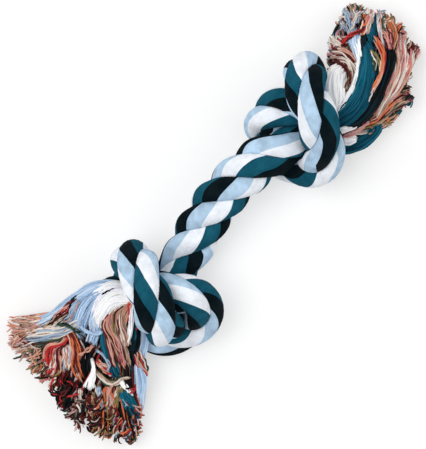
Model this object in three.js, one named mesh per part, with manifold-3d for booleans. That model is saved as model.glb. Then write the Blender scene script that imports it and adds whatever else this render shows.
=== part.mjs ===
// A knotted rope dog toy. One laid rope of three strands is tied in an overhand knot near each end, and
// past each knot the strands open into a tassel of loose yarn. Every strand is a cover of four coloured
// bundles of yarn round a core of mixed yarn.
// Millimetres. X runs along the rope from the left knot to the right one, Z is up, and the toy lies flat.
import * as THREE from "three";
import { mergeVertices } from "three/addons/utils/BufferGeometryUtils.js";
import Module from "manifold-3d";

const wasm = await Module();
wasm.setup();

// Driving dimensions
const ropeDiameter = 27.5;
const knotRopeDiameter = 24.5; // the knots draw the rope thinner
const passDistance = 20.5; // the least distance that two passes of the rope squeeze together to
const shaftLength = 71.5; // the straight rope, between the points where it enters the two knots
const shaftBow = 5.5; // how far the middle of the shaft stands out sideways
const layLength = 55; // one full turn of a strand along the shaft
const leftTasselLength = 66;
const rightTasselLength = 48;
const tasselHeight = 18; // the thickness of a tassel at its cut ends
const strandGap = 0.3; // left between strands, and between the pieces that follow each other in one strand
const passGap = 0.7; // left between two passes of the rope that press on each other
const floorCut = 2.6; // how deep the underside of each knot is pressed flat

// How finely the surfaces are faceted
const knotRingStep = 5;
const shaftRingStep = 4.6;
const arcPoints = 7;
const tasselRings = 7;
const cellSteps = 3;
const lengthDivisions = 60;

// Where the rope runs, in rope diameters from the point where it leaves the knot for the shaft. The list
// starts there and ends where the tassel begins.
const leftKnotShares = [
  [-0.55, -0.08, 0.4], [-1.0, -0.2, 0.4], [-1.33, -0.45, 0.78], [-1.39, -0.45, 1.27],
  [-1.29, -0.3, 1.72], [-1.12, 0, 1.9], [-0.9, 0.38, 1.8], [-0.85, 0.58, 1.48],
  [-0.86, 0.72, 1.03], [-0.92, 0.8, 0.53], [-1.25, 0.5, 0.37], [-1.6, 0.12, 0.37],
  [-1.58, -0.16, 0.4], [-1.34, -0.52, 0.5], [-1.0, -0.86, 0.7], [-0.76, -1.08, 0.9],
  [-0.53, -0.94, 1.05], [-0.64, -0.68, 1.2], [-0.9, -0.36, 1.2], [-1.12, -0.02, 1.1],
  [-1.47, 0.16, 1.1], [-1.9, 0.26, 0.95],
];
const rightKnotShares = [
  [0.38, -0.24, 1.15], [0.74, -0.43, 0.94], [1.15, -0.47, 0.57], [1.43, -0.23, 0.37],
  [1.64, 0.17, 0.45], [1.66, 0.41, 0.86], [1.68, 0.39, 1.36], [1.46, 0.24, 1.77],
  [1.25, -0.14, 1.9], [1.03, -0.6, 1.85], [0.98, -0.67, 1.6], [0.78, -0.66, 1.15],
  [0.58, -0.44, 0.7], [0.3, -0.22, 0.4], [0.33, 0.2, 0.37], [0.43, 0.48, 0.57],
  [0.66, 0.56, 0.9], [0.92, 0.4, 1.1], [1.12, 0.1, 1.1], [1.26, -0.27, 1.07],
  [1.41, -0.54, 1.1], [1.57, -0.76, 1.05],
];
const leftEntryHeightShare = 0.55;
const shaftHeightShare = 0.9;
const rightEntryHeightShare = 1.15;
const shaftBowPlaceShare = 0.44;

// How the rope settles: its passes are eased apart until none is nearer than passDistance
const routeStepShare = 0.12;
const settleRounds = 220;
const smoothShare = 0.2;
const holdShare = 0.03;
const holdHeightShare = 0.01;
const freeBendShare = 1.75; // a stretch shorter than this many passDistances bends freely
const heldPoints = 3;
const easeRounds = 4; // at the end, to take out kinks
const easeShare = 0.5;

// The section of a strand, as shares of the rope's radius
const bulgeRadiusShare = 0.62;
const crestAngle = 59; // of the first strand at the middle of the shaft, in degrees past the top
const strandCount = 3;

// The lay opens in the knots. At distances from the shaft's end, in rope diameters: the length of one turn,
// as a share of layLength.
const leftLayShares = [
  [-0.25, 1], [0.5, 1.62], [1.8, 1.62], [2, 1.3], [4.5, 1.3], [4.9, 1.8], [6.1, 1.8], [6.3, 1.45],
];
const rightLayShares = [[-0.25, 1], [0.5, 1.29], [5.4, 1.29], [5.6, 1.42], [6.8, 1.42], [7, 1.29]];

// The tassels: the way that the middle of each fan points and half its spread, in degrees from X, and how
// much longer than the middle the yarns at the fan's counter-clockwise edge are
const leftFanAngle = 179;
const leftFanHalfAngle = 47;
const leftSlantShare = 0.08;
const rightFanAngle = -16;
const rightFanHalfAngle = 54;
const rightSlantShare = 0.5;
const tasselCoreShare = 0.5;
const coverInsetShare = 0.04;
const endInsetShare = 0.24;
const tasselStiffShare = 0.4;
const coverLengthShares = [0.92, 1, 0.96, 0.99, 0.9, 0.97, 1, 0.94, 1, 0.91, 0.98, 0.95];
const coreLengthShares = [0.93, 0.99, 0.9];

const colours = {
  light_blue: 0xa7c4dc,
  white: 0xf2f2f7,
  teal: 0x0c5068,
  black: 0x14191c,
};
const coverNames = Object.keys(colours);
const coreColour = 0xc48a68;
const strandColours = [0xa7c4dc, 0xf2f2f7, 0x0c5068];

const radians = THREE.MathUtils.degToRad;
const sectorHalfAngle = Math.PI / strandCount;
const ropeRadius = ropeDiameter / 2;
const knotRopeRadius = knotRopeDiameter / 2;
const lowestCentre = knotRopeRadius - floorCut;

function yarnMaterial(colour) {
  return new THREE.MeshStandardMaterial({ color: colour, roughness: 0.9, metalness: 0 });
}

// The route of the rope

function knotPoints(shares, entryX) {
  return shares.map(([x, y, z]) =>
    new THREE.Vector3(entryX + x * ropeDiameter, y * ropeDiameter, z * ropeDiameter));
}

function chosenRoute() {
  const half = shaftLength / 2;
  const left = knotPoints(leftKnotShares, -half).reverse();
  const right = knotPoints(rightKnotShares, half);
  const bowX = -half + shaftLength * shaftBowPlaceShare;
  return [
    ...left,
    new THREE.Vector3(-half, 0, leftEntryHeightShare * ropeDiameter),
    new THREE.Vector3(bowX, shaftBow, shaftHeightShare * ropeDiameter),
    new THREE.Vector3(half, 0, rightEntryHeightShare * ropeDiameter),
    ...right,
  ];
}

function evenPoints(points, step) {
  const curve = new THREE.CatmullRomCurve3(points, false, "centripetal");
  curve.arcLengthDivisions = lengthDivisions * points.length;
  const count = Math.round(curve.getLength() / step);
  return curve.getSpacedPoints(count);
}

// Ease the passes apart. Points near each other along the rope may bend; all others keep their distance.
function settle(points, step) {
  const home = points.map((point) => point.clone());
  const reach = Math.round((freeBendShare * passDistance) / step);
  const last = points.length - 1;
  const isHeld = (i) => i < heldPoints || i > last - heldPoints;
  for (let round = 0; round < settleRounds; round += 1) {
    smooth(points, isHeld, smoothShare);
    points.forEach((point, i) => {
      if (isHeld(i)) return;
      const pull = home[i].clone().sub(point);
      point.x += holdShare * pull.x;
      point.y += holdShare * pull.y;
      point.z += holdHeightShare * pull.z;
    });
    pushApart(points, reach, isHeld);
    pushApart(points, reach, isHeld);
    points.forEach((point) => {
      point.z = Math.max(point.z, lowestCentre);
    });
  }
  for (let round = 0; round < easeRounds; round += 1) smooth(points, isHeld, easeShare);
  return points;
}

function smooth(points, isHeld, share) {
  const before = points.map((point) => point.clone());
  points.forEach((point, i) => {
    if (isHeld(i)) return;
    const middle = before[i - 1].clone().add(before[i + 1]).multiplyScalar(0.5);
    point.addScaledVector(middle.sub(before[i]), share);
  });
}

function pushApart(points, reach, isHeld) {
  const pushes = points.map(() => new THREE.Vector3());
  const counts = points.map(() => 0);
  for (let i = 0; i < points.length; i += 1) {
    for (let j = i + reach; j < points.length; j += 1) {
      const apart = points[i].clone().sub(points[j]);
      const distance = apart.length();
      if (distance >= passDistance) continue;
      apart.multiplyScalar((0.5 * (passDistance - distance)) / distance);
      pushes[i].add(apart);
      pushes[j].sub(apart);
      counts[i] += 1;
      counts[j] += 1;
    }
  }
  points.forEach((point, i) => {
    if (counts[i] > 0 && !isHeld(i)) point.addScaledVector(pushes[i], 1 / counts[i]);
  });
}

// Directions across the rope that turn no more than they must, started from straight up at the shaft
function carriedFrames(points) {
  const tangents = points.map((point, i) => {
    const next = points[Math.min(i + 1, points.length - 1)];
    const previous = points[Math.max(i - 1, 0)];
    return next.clone().sub(previous).normalize();
  });
  const middle = shaftMiddle(points);
  const ups = new Array(points.length);
  const up = new THREE.Vector3(0, 0, 1);
  ups[middle] = up.addScaledVector(tangents[middle], -up.dot(tangents[middle])).normalize();
  for (let i = middle + 1; i < points.length; i += 1) ups[i] = carry(points, tangents, ups, i - 1, i);
  for (let i = middle - 1; i >= 0; i -= 1) ups[i] = carry(points, tangents, ups, i + 1, i);
  const sides = ups.map((direction, i) => tangents[i].clone().cross(direction));
  return { tangents, ups, sides, middle };
}

function shaftMiddle(points) {
  const middle = new THREE.Vector3(0, shaftBow, shaftHeightShare * ropeDiameter);
  const distances = points.map((point) => point.distanceTo(middle));
  return distances.indexOf(Math.min(...distances));
}

function carry(points, tangents, ups, from, to) {
  const step = points[to].clone().sub(points[from]);
  const mirrored = mirror(ups[from], step);
  const mirroredTangent = mirror(tangents[from], step);
  const turn = tangents[to].clone().sub(mirroredTangent);
  const carried = turn.lengthSq() > 0 ? mirror(mirrored, turn) : mirrored;
  carried.addScaledVector(tangents[to], -carried.dot(tangents[to]));
  return carried.normalize();
}

function mirror(vector, normal) {
  return vector.clone().addScaledVector(normal, (-2 * vector.dot(normal)) / normal.lengthSq());
}

// The value of a table of places and values at any place
function valueAt(table, place) {
  const after = table.findIndex(([x]) => x > place);
  if (after === 0) return table[0][1];
  if (after < 0) return table[table.length - 1][1];
  const [[x0, y0], [x1, y1]] = [table[after - 1], table[after]];
  return y0 + ((y1 - y0) * (place - x0)) / (x1 - x0);
}

// How fast the strands turn at a distance along the rope from the middle of the shaft
function layRate(distance) {
  const place = (Math.abs(distance) - shaftLength / 2) / ropeDiameter;
  const share = valueAt(distance < 0 ? leftLayShares : rightLayShares, place);
  return (2 * Math.PI) / (layLength * share);
}

// The rope as a whole: its centre line with, at each point, its frame, the turn of its strands, its radius
// and the distance along it from the middle of the shaft
function layRope() {
  const step = routeStepShare * ropeDiameter;
  const settled = settle(evenPoints(chosenRoute(), step), step);
  const points = evenPoints(settled, step / 2);
  const { tangents, ups, sides, middle } = carriedFrames(points);
  const along = points.map(() => 0);
  for (let i = middle + 1; i < points.length; i += 1) {
    along[i] = along[i - 1] + points[i].distanceTo(points[i - 1]);
  }
  for (let i = middle - 1; i >= 0; i -= 1) along[i] = along[i + 1] - points[i].distanceTo(points[i + 1]);
  const half = shaftLength / 2;
  const radii = along.map((distance) => {
    const share = THREE.MathUtils.smoothstep(Math.abs(distance), half - ropeRadius / 2, half + ropeRadius);
    return THREE.MathUtils.lerp(ropeRadius, knotRopeRadius, share);
  });
  const rates = along.map(layRate);
  const turns = points.map(() => radians(crestAngle));
  for (let i = middle + 1; i < points.length; i += 1) {
    turns[i] = turns[i - 1] + ((rates[i] + rates[i - 1]) / 2) * (along[i] - along[i - 1]);
  }
  for (let i = middle - 1; i >= 0; i -= 1) {
    turns[i] = turns[i + 1] - ((rates[i] + rates[i + 1]) / 2) * (along[i + 1] - along[i]);
  }
  return { points, tangents, ups, sides, along, radii, turns };
}

// The rope's frame at any distance along it
function ropeAt(rope, distance) {
  const { along } = rope;
  let i = 0;
  while (i < along.length - 2 && along[i + 1] < distance) i += 1;
  const share = THREE.MathUtils.clamp((distance - along[i]) / (along[i + 1] - along[i]), 0, 1);
  const mix = (list) => list[i].clone().lerp(list[i + 1], share);
  return {
    distance,
    centre: mix(rope.points),
    tangent: mix(rope.tangents).normalize(),
    up: mix(rope.ups).normalize(),
    side: mix(rope.sides).normalize(),
    radius: THREE.MathUtils.lerp(rope.radii[i], rope.radii[i + 1], share),
    turn: THREE.MathUtils.lerp(rope.turns[i], rope.turns[i + 1], share),
  };
}

// How far the rope reaches from its centre in one direction before it meets another pass: each pass keeps
// the space that is nearer to its own centre line
function pressedRadius(rope, place, direction, radius) {
  let reach = radius;
  rope.points.forEach((point, i) => {
    if (Math.abs(rope.along[i] - place.distance) < freeBendShare * passDistance) return;
    const away = point.clone().sub(place.centre);
    const facing = away.dot(direction);
    if (facing <= 0) return;
    reach = Math.min(reach, away.lengthSq() / (2 * facing) - passGap / 2);
  });
  return reach;
}

function strandSection(rope, distance, strand) {
  const place = ropeAt(rope, distance);
  const crest = place.turn + strand * 2 * sectorHalfAngle;
  const bulge = bulgeRadiusShare * place.radius;
  const bulgeCentre = place.radius - bulge;
  const direction = (angle) =>
    place.up.clone().multiplyScalar(Math.cos(angle)).addScaledVector(place.side, Math.sin(angle));
  const apexOffset = strandGap / (2 * Math.sin(sectorHalfAngle));
  const apex = place.centre.clone().addScaledVector(direction(crest), apexOffset);
  const section = [apex];
  for (let i = 0; i < arcPoints; i += 1) {
    const offset = sectorHalfAngle * ((2 * i) / (arcPoints - 1) - 1);
    const across = bulgeCentre * Math.sin(offset);
    const outline = bulgeCentre * Math.cos(offset) + Math.sqrt(bulge ** 2 - across ** 2);
    const outward = direction(crest + offset);
    const reach = pressedRadius(rope, place, outward, outline);
    section.push(apex.clone().addScaledVector(outward, reach - apexOffset));
  }
  return section;
}

// A closed body from rings of points, all with as many points. The last side of each ring is split the
// other way, so that the two strands that share a side are split alike.
function solidFromRings(rings) {
  const size = rings[0].length;
  const positions = rings.flat().flatMap((point) => point.toArray());
  const faces = [];
  for (let ring = 0; ring < rings.length - 1; ring += 1) {
    for (let i = 0; i < size; i += 1) {
      const a = ring * size + i;
      const b = ring * size + ((i + 1) % size);
      const c = a + size;
      const d = b + size;
      if (i === size - 1) faces.push(a, b, c, b, d, c);
      else faces.push(a, b, d, a, d, c);
    }
  }
  const end = (rings.length - 1) * size;
  for (let i = 1; i < size - 1; i += 1) {
    faces.push(0, i + 1, i);
    faces.push(end, end + i, end + i + 1);
  }
  const geometry = new THREE.BufferGeometry();
  geometry.setAttribute("position", new THREE.Float32BufferAttribute(positions, 3));
  geometry.setIndex(faces);
  return geometry;
}

function toManifold(geometry) {
  const bare = geometry.clone();
  bare.deleteAttribute("normal");
  bare.deleteAttribute("uv");
  const merged = mergeVertices(bare);
  return new wasm.Manifold(new wasm.Mesh({
    numProp: 3,
    vertProperties: new Float32Array(merged.attributes.position.array),
    triVerts: new Uint32Array(merged.index.array),
  }));
}

function fromManifold(solid) {
  const mesh = solid.getMesh();
  const geometry = new THREE.BufferGeometry();
  geometry.setAttribute("position", new THREE.BufferAttribute(mesh.vertProperties, 3));
  geometry.setIndex(new THREE.BufferAttribute(mesh.triVerts, 1));
  return geometry;
}

// The floor presses the underside flat
function cutAtFloor(geometry) {
  geometry.computeBoundingBox();
  const size = geometry.boundingBox.getSize(new THREE.Vector3());
  const centre = geometry.boundingBox.getCenter(new THREE.Vector3());
  const floor = new THREE.BoxGeometry(size.x + ropeDiameter, size.y + ropeDiameter, ropeDiameter);
  floor.translate(centre.x, centre.y, -ropeDiameter / 2);
  return fromManifold(toManifold(geometry).subtract(toManifold(floor)));
}

function strandPiece(rope, strand, from, to, ringStep) {
  const count = Math.round((to - from) / ringStep);
  const rings = [];
  for (let i = 0; i <= count; i += 1) {
    rings.push(strandSection(rope, from + ((to - from) * i) / count, strand));
  }
  return solidFromRings(rings);
}

function buildStrands(rope) {
  const start = rope.along[0];
  const end = rope.along[rope.along.length - 1];
  const half = shaftLength / 2;
  const pieces = [
    { name: "left_knot_strand", from: start, to: -half - strandGap, step: knotRingStep, cut: true },
    { name: "shaft_strand", from: -half, to: half, step: shaftRingStep, cut: false },
    { name: "right_knot_strand", from: half + strandGap, to: end, step: knotRingStep, cut: true },
  ];
  const meshes = [];
  for (const piece of pieces) {
    for (let strand = 0; strand < strandCount; strand += 1) {
      let geometry = strandPiece(rope, strand, piece.from, piece.to, piece.step);
      if (piece.cut) geometry = cutAtFloor(geometry);
      const mesh = new THREE.Mesh(geometry, yarnMaterial(strandColours[strand]));
      mesh.name = `${piece.name}_${strand + 1}`;
      meshes.push(mesh);
    }
  }
  return meshes;
}

// The tassels. A point of the rope's cut end, given across and up in shares of its radius, is followed
// along the yarn to a share of the tassel's length. A cell of the cut end, followed so, is one bundle.
function yarnPoint(root, across, up, share) {
  const offset = root.across.clone().multiplyScalar(across).addScaledVector(root.up, up);
  const reach = pressedRadius(root.rope, root.place, offset.clone().normalize(), knotRopeRadius);
  const start = root.centre.clone().addScaledVector(offset, reach);
  const angle = radians(root.fanAngle + across * root.fanHalfAngle);
  const length = root.length * (1 + across * root.slantShare);
  const tip = new THREE.Vector3(
    root.centre.x + length * Math.cos(angle),
    root.centre.y + length * Math.sin(angle),
    strandGap + ((1 + up) * tasselHeight) / 2,
  );
  const bend = start.clone().addScaledVector(root.out, tasselStiffShare * length);
  return new THREE.QuadraticBezierCurve3(start, bend, tip).getPoint(share);
}

// All bundles have their rings at the same places, but for the last, where each is cut to its own length
function bundle(root, cell, lengthShare) {
  const centre = cell.reduce((sum, [x, y]) => [sum[0] + x / cell.length, sum[1] + y / cell.length], [0, 0]);
  const rings = [];
  for (let ring = 0; ring < tasselRings; ring += 1) {
    const share = Math.min(ring / (tasselRings - 1), lengthShare);
    const inset = THREE.MathUtils.lerp(coverInsetShare, endInsetShare, share);
    rings.push(cell.map(([x, y]) => {
      const across = THREE.MathUtils.lerp(x, centre[0], inset);
      const up = THREE.MathUtils.lerp(y, centre[1], inset);
      return yarnPoint(root, across, up, share);
    }));
  }
  return solidFromRings(rings);
}

function ringCell(from, to, inner, outer) {
  const points = [];
  for (let i = 0; i <= cellSteps; i += 1) {
    points.push(polar(outer, from + ((to - from) * i) / cellSteps));
  }
  if (inner > 0) points.push(polar(inner, to), polar(inner, (from + to) / 2), polar(inner, from));
  else points.push([0, 0]);
  return points;
}

function polar(radius, angle) {
  return [radius * Math.cos(angle), radius * Math.sin(angle)];
}

// The frame of a cut end, seen from the tassel's tip, and the way that the first strand's crest faces in it
function tasselRoot(rope, isLeft) {
  const distance = isLeft ? rope.along[0] : rope.along[rope.along.length - 1];
  const place = ropeAt(rope, distance);
  const out = isLeft ? place.tangent.clone().negate() : place.tangent.clone();
  const up = new THREE.Vector3(0, 0, 1);
  up.addScaledVector(out, -up.dot(out)).normalize();
  const across = up.clone().cross(out);
  const crest = place.up.clone().multiplyScalar(Math.cos(place.turn));
  crest.addScaledVector(place.side, Math.sin(place.turn));
  return {
    rope,
    place,
    centre: place.centre.clone().addScaledVector(out, strandGap),
    out,
    up,
    across,
    crestAngle: Math.atan2(crest.dot(up), crest.dot(across)),
    strandWay: isLeft ? 1 : -1,
    fanAngle: isLeft ? leftFanAngle : rightFanAngle,
    fanHalfAngle: isLeft ? leftFanHalfAngle : rightFanHalfAngle,
    slantShare: isLeft ? leftSlantShare : rightSlantShare,
    length: isLeft ? leftTasselLength : rightTasselLength,
  };
}

// Each strand's four cover bundles and its core go on from the strand's own part of the cut end
function buildTassel(rope, isLeft) {
  const root = tasselRoot(rope, isLeft);
  const side = isLeft ? "left" : "right";
  const cellAngle = (2 * sectorHalfAngle) / coverNames.length;
  const meshes = [];
  for (let strand = 0; strand < strandCount; strand += 1) {
    const from = root.crestAngle + root.strandWay * strand * 2 * sectorHalfAngle - sectorHalfAngle;
    coverNames.forEach((colourName, i) => {
      const cell = ringCell(from + i * cellAngle, from + (i + 1) * cellAngle, tasselCoreShare, 1);
      const lengthShare = coverLengthShares[strand * coverNames.length + i];
      const mesh = new THREE.Mesh(bundle(root, cell, lengthShare), yarnMaterial(colours[colourName]));
      mesh.name = `${side}_tassel_${colourName}_${strand + 1}`;
      meshes.push(mesh);
    });
  }
  for (let strand = 0; strand < strandCount; strand += 1) {
    const from = root.crestAngle + root.strandWay * strand * 2 * sectorHalfAngle - sectorHalfAngle;
    const cell = ringCell(from, from + 2 * sectorHalfAngle, 0, tasselCoreShare);
    const mesh = new THREE.Mesh(bundle(root, cell, coreLengthShares[strand]), yarnMaterial(coreColour));
    mesh.name = `${side}_tassel_core_${strand + 1}`;
    meshes.push(mesh);
  }
  return meshes;
}

// The origin is on the floor, under the middle of the toy's outline
function centreOnFloor(group) {
  const box = new THREE.Box3().setFromObject(group);
  const centre = box.getCenter(new THREE.Vector3());
  group.position.set(-centre.x, -centre.y, -box.min.z);
}

const rope = layRope();
const group = new THREE.Group();
group.add(...buildStrands(rope));
group.add(...buildTassel(rope, true));
group.add(...buildTassel(rope, false));
centreOnFloor(group);
group.updateMatrixWorld(true);

export default group;
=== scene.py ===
import math

import bpy
import numpy as np
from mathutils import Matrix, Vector


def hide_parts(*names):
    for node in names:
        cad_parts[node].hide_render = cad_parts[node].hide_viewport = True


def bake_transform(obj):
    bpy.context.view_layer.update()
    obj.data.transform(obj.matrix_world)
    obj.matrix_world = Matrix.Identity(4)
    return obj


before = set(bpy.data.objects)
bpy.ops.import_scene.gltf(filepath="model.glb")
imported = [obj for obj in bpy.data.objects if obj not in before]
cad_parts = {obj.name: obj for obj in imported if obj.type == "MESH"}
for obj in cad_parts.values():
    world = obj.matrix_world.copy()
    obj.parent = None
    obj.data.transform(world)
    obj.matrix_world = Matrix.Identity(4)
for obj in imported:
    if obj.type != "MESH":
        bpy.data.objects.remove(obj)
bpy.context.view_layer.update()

MM = 0.001
UP = np.array((0, 0, 1.0))

# The part's driving dimensions
ROPE_DIAMETER = 27.5
KNOT_ROPE_DIAMETER = 24.5
PASS_DISTANCE = 20.5
SHAFT_LENGTH = 71.5
SHAFT_BOW = 5.5
LAY_LENGTH = 55.0
FLOOR_CUT = 2.6
FLOOR_GAP = 0.3

# Where the middle of the shaft's line lies from the toy's origin
SHAFT_MIDDLE = np.array((8.003, -1.654, 0.0))

# The route, in rope diameters from the point where the rope leaves each knot for the shaft
LEFT_KNOT = [
    (-0.55, -0.08, 0.4), (-1, -0.2, 0.4), (-1.33, -0.45, 0.78), (-1.39, -0.45, 1.27), (-1.29, -0.3, 1.72),
    (-1.12, 0, 1.9), (-0.9, 0.38, 1.8), (-0.85, 0.58, 1.48), (-0.86, 0.72, 1.03), (-0.92, 0.8, 0.53),
    (-1.25, 0.5, 0.37), (-1.6, 0.12, 0.37), (-1.58, -0.16, 0.4), (-1.34, -0.52, 0.5), (-1, -0.86, 0.7),
    (-0.76, -1.08, 0.9), (-0.53, -0.94, 1.05), (-0.64, -0.68, 1.2), (-0.9, -0.36, 1.2),
    (-1.12, -0.02, 1.1), (-1.47, 0.16, 1.1), (-1.9, 0.26, 0.95),
]
RIGHT_KNOT = [
    (0.38, -0.24, 1.15), (0.74, -0.43, 0.94), (1.15, -0.47, 0.57), (1.43, -0.23, 0.37), (1.64, 0.17, 0.45),
    (1.66, 0.41, 0.86), (1.68, 0.39, 1.36), (1.46, 0.24, 1.77), (1.25, -0.14, 1.9), (1.03, -0.6, 1.85),
    (0.98, -0.67, 1.6), (0.78, -0.66, 1.15), (0.58, -0.44, 0.7), (0.3, -0.22, 0.4), (0.33, 0.2, 0.37),
    (0.43, 0.48, 0.57), (0.66, 0.56, 0.9), (0.92, 0.4, 1.1), (1.12, 0.1, 1.1), (1.26, -0.27, 1.07),
    (1.41, -0.54, 1.1), (1.57, -0.76, 1.05),
]
LEFT_ENTRY_HEIGHT = 0.55
SHAFT_HEIGHT = 0.9
RIGHT_ENTRY_HEIGHT = 1.15
SHAFT_BOW_PLACE = 0.44

# How the rope settles
ROUTE_STEP = 0.12
SETTLE_ROUNDS = 220
PUSHES = 2
SMOOTH = 0.2
HOLD = 0.03
HOLD_HEIGHT = 0.01
FREE_BEND = 1.75
HELD_POINTS = 3
EASE_ROUNDS = 4
EASE = 0.5
# The points of a curve from one chosen point to the next
CURVE_SPAN = 60
# Too small a change of direction to turn anything by
NO_TURN = 1e-12

# The lay and the strands
STRANDS = 3
CREST_ANGLE = math.radians(59)
BULGE = 0.62
# Rope diameters from the shaft's end, and how long a strand's turn is there beside that of the shaft
LEFT_LAY = [
    (-0.25, 1), (0.5, 1.62), (1.8, 1.62), (2, 1.3), (4.5, 1.3), (4.9, 1.8), (6.1, 1.8), (6.3, 1.45),
]
RIGHT_LAY = [(-0.25, 1), (0.5, 1.29), (5.4, 1.29), (5.6, 1.42), (6.8, 1.42), (7, 1.29)]
# Rope diameters from the shaft's middle, and how many colour bands cross a strand's crest there in 1 mm
BAND_RATES = [
    (-6, 0.124), (-5.8, 0.14), (-3.3, 0.14), (-3.1, 0.1136), (-1.2, 0.1136), (-1.05, 0.161),
    (1.05, 0.161), (1.2, 0.0987), (3.7, 0.0987), (3.9, 0.13), (6, 0.13), (6.2, 0.121),
]
BANDS = 4
YARNS_PER_BAND = 9
COLUMNS_PER_YARN = 4
COLUMNS = BANDS * YARNS_PER_BAND * COLUMNS_PER_YARN
# The colour band at each strand's crest at the middle of the shaft, counted from light blue
MIDDLE_BANDS = (2.4, 1.93, 2.61)
# How many bands each strand's have slipped along it in the knots, at places as above
BAND_SLIPS = [
    [(-10.4, -1.0), (-9.9, -1.15), (-9.3, -1.3), (-5, 0.4), (-4.65, 0.38), (-4.2, 0.75), (-3.2, 0.2),
     (-1.3, 0), (4.5, 0), (4.8, 0.35), (5.1, 0.1), (5.8, 0)],
    [(-8.3, 2.7), (-5.3, 1.35), (-4.75, 1.38), (-3.5, 0.8), (-1.3, 0), (1.3, 0), (4.5, 0.6), (4.9, 0.75),
     (5.15, 1.15), (6.5, 0.3), (6.9, -0.4), (7.3, -0.2), (9.5, 0.1)],
    [(-9.7, 2.05), (-8.3, 1.95), (-6.4, 1.5), (-4.3, -0.28), (-3.8, -0.2), (-1.7, -1.1), (-1.4, -0.85),
     (-1.15, -0.6), (-0.95, 0), (5, 0), (5.6, 0.36), (6, 0.36), (6.5, -0.3), (9.2, -0.1)],
]
# The distance from ring to ring of a strand
SHAFT_RING = 0.6
KNOT_RING = 1.0
# The gaps between passes and between strands, and how sharply a pressed strand turns from round to flat
PASS_GAP = 0.25
STRAND_GAP = 0.12
SOFT_PRESS = 14
# In how many directions round it the rope looks for other passes, how far off, and what stands for none
GRID = 96
PRESS_REACH = 3 * ROPE_DIAMETER
NO_PASS = 1e3
LEAST_FACING = 1e-3
LEAST_REACH = 0.01
LEAST_LIMIT = 0.5
# How many bands show on a strand to each side of its crest, and how many would go all round it
ARC_BANDS = 1.4
ROUND_BANDS = 5.5
# How high each column of a yarn lies, how much single yarns differ, and the slow wave along them
RIDGE = (-0.26, -0.03, 0.06, -0.03)
YARN_DIFFERENCE = 0.05
WAVE = 0.05
WAVE_LENGTH = 9.0
WAVE_SHIFT = 2.4
# The strands open into loose yarn this far before the cut ends of the plain model's strands
LEFT_OPENS = 17.0
RIGHT_OPENS = 15.0
STRAND_SEED = 40

rope_radius = ROPE_DIAMETER / 2
knot_radius = KNOT_ROPE_DIAMETER / 2
lowest_centre = knot_radius - FLOOR_CUT

# The camera looks straight down, turned as the photograph is
PHOTO_SIZE = np.array((426, 449))
PHOTO_MIDDLE = PHOTO_SIZE / 2
PIXEL = 0.565
SHAFT_TILT = math.radians(50.8)
# The pixel under the left end of the shaft's line
LEFT_ENTRY_PIXEL = (187.0, 253.0)
CAMERA_HEIGHT = 1400.0
SENSOR = 36.0
SIGHT = 100


def from_picture(points):
    """Points of the photograph, each (u, v, height), in the rope's frame."""
    points = np.array(points, float)
    cos, sin = math.cos(SHAFT_TILT), math.sin(SHAFT_TILT)
    nearer = 1 + (ROPE_DIAMETER - points[:, 2:]) / CAMERA_HEIGHT
    u, v = ((points[:, :2] - PHOTO_MIDDLE) * nearer + PHOTO_MIDDLE - LEFT_ENTRY_PIXEL).T
    x = PIXEL * (u * cos - v * sin) - SHAFT_LENGTH / 2
    y = PIXEL * (-u * sin - v * cos)
    return np.stack([x, y, points[:, 2]], axis=1)


def in_metres(point):
    return tuple((np.array(point, float) + SHAFT_MIDDLE) * MM)


def make_camera():
    data = bpy.data.cameras.new("camera")
    data.sensor_fit = "VERTICAL"
    data.sensor_height = SENSOR
    data.lens = SENSOR * CAMERA_HEIGHT / (PHOTO_SIZE[1] * PIXEL)
    data.clip_end = SIGHT
    camera = bpy.data.objects.new("camera", data)
    middle = from_picture([(*PHOTO_MIDDLE, ROPE_DIAMETER)])[0]
    camera.location = in_metres(middle + UP * CAMERA_HEIGHT)
    camera.rotation_euler = (0, 0, -SHAFT_TILT)
    bpy.context.scene.collection.objects.link(camera)
    bpy.context.scene.camera = camera


make_camera()


# The rope's route


def unit(vectors):
    return vectors / np.linalg.norm(vectors, axis=1)[:, None]


def columns_at(places, along, table):
    """Every column of a table that is known along a line, at other places on that line."""
    return np.stack([np.interp(places, along, column) for column in table.T], axis=1)


def lengths_along(points):
    return np.r_[0, np.cumsum(np.linalg.norm(np.diff(points[:, :3], axis=0), axis=1))]


def between(t, start, end, first, second):
    return (end - t) / (end - start) * first + (t - start) / (end - start) * second


def curve_through(points, per_span):
    """A centripetal Catmull-Rom curve through the points."""
    p = np.vstack([[2 * points[0] - points[1]], points, [2 * points[-1] - points[-2]]])
    out = []
    for i in range(1, len(p) - 2):
        four = p[i - 1:i + 4]
        at = [0.0]
        for k in range(3):
            at.append(at[k] + np.linalg.norm(four[k + 1] - four[k]) ** 0.5)
        t = np.linspace(at[1], at[2], per_span, endpoint=False)[:, None]
        lines = [between(t, at[k], at[k + 1], four[k], four[k + 1]) for k in range(3)]
        arcs = [between(t, at[k], at[k + 2], lines[k], lines[k + 1]) for k in range(2)]
        out.append(between(t, at[1], at[2], *arcs))
    out.append(points[-1:])
    return np.vstack(out)


def spaced(curve, count):
    along = lengths_along(curve)
    return columns_at(np.linspace(0, along[-1], count), along, curve)


def even_points(points, step):
    curve = curve_through(points, CURVE_SPAN)
    return spaced(curve, round(lengths_along(curve)[-1] / step) + 1)


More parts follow.
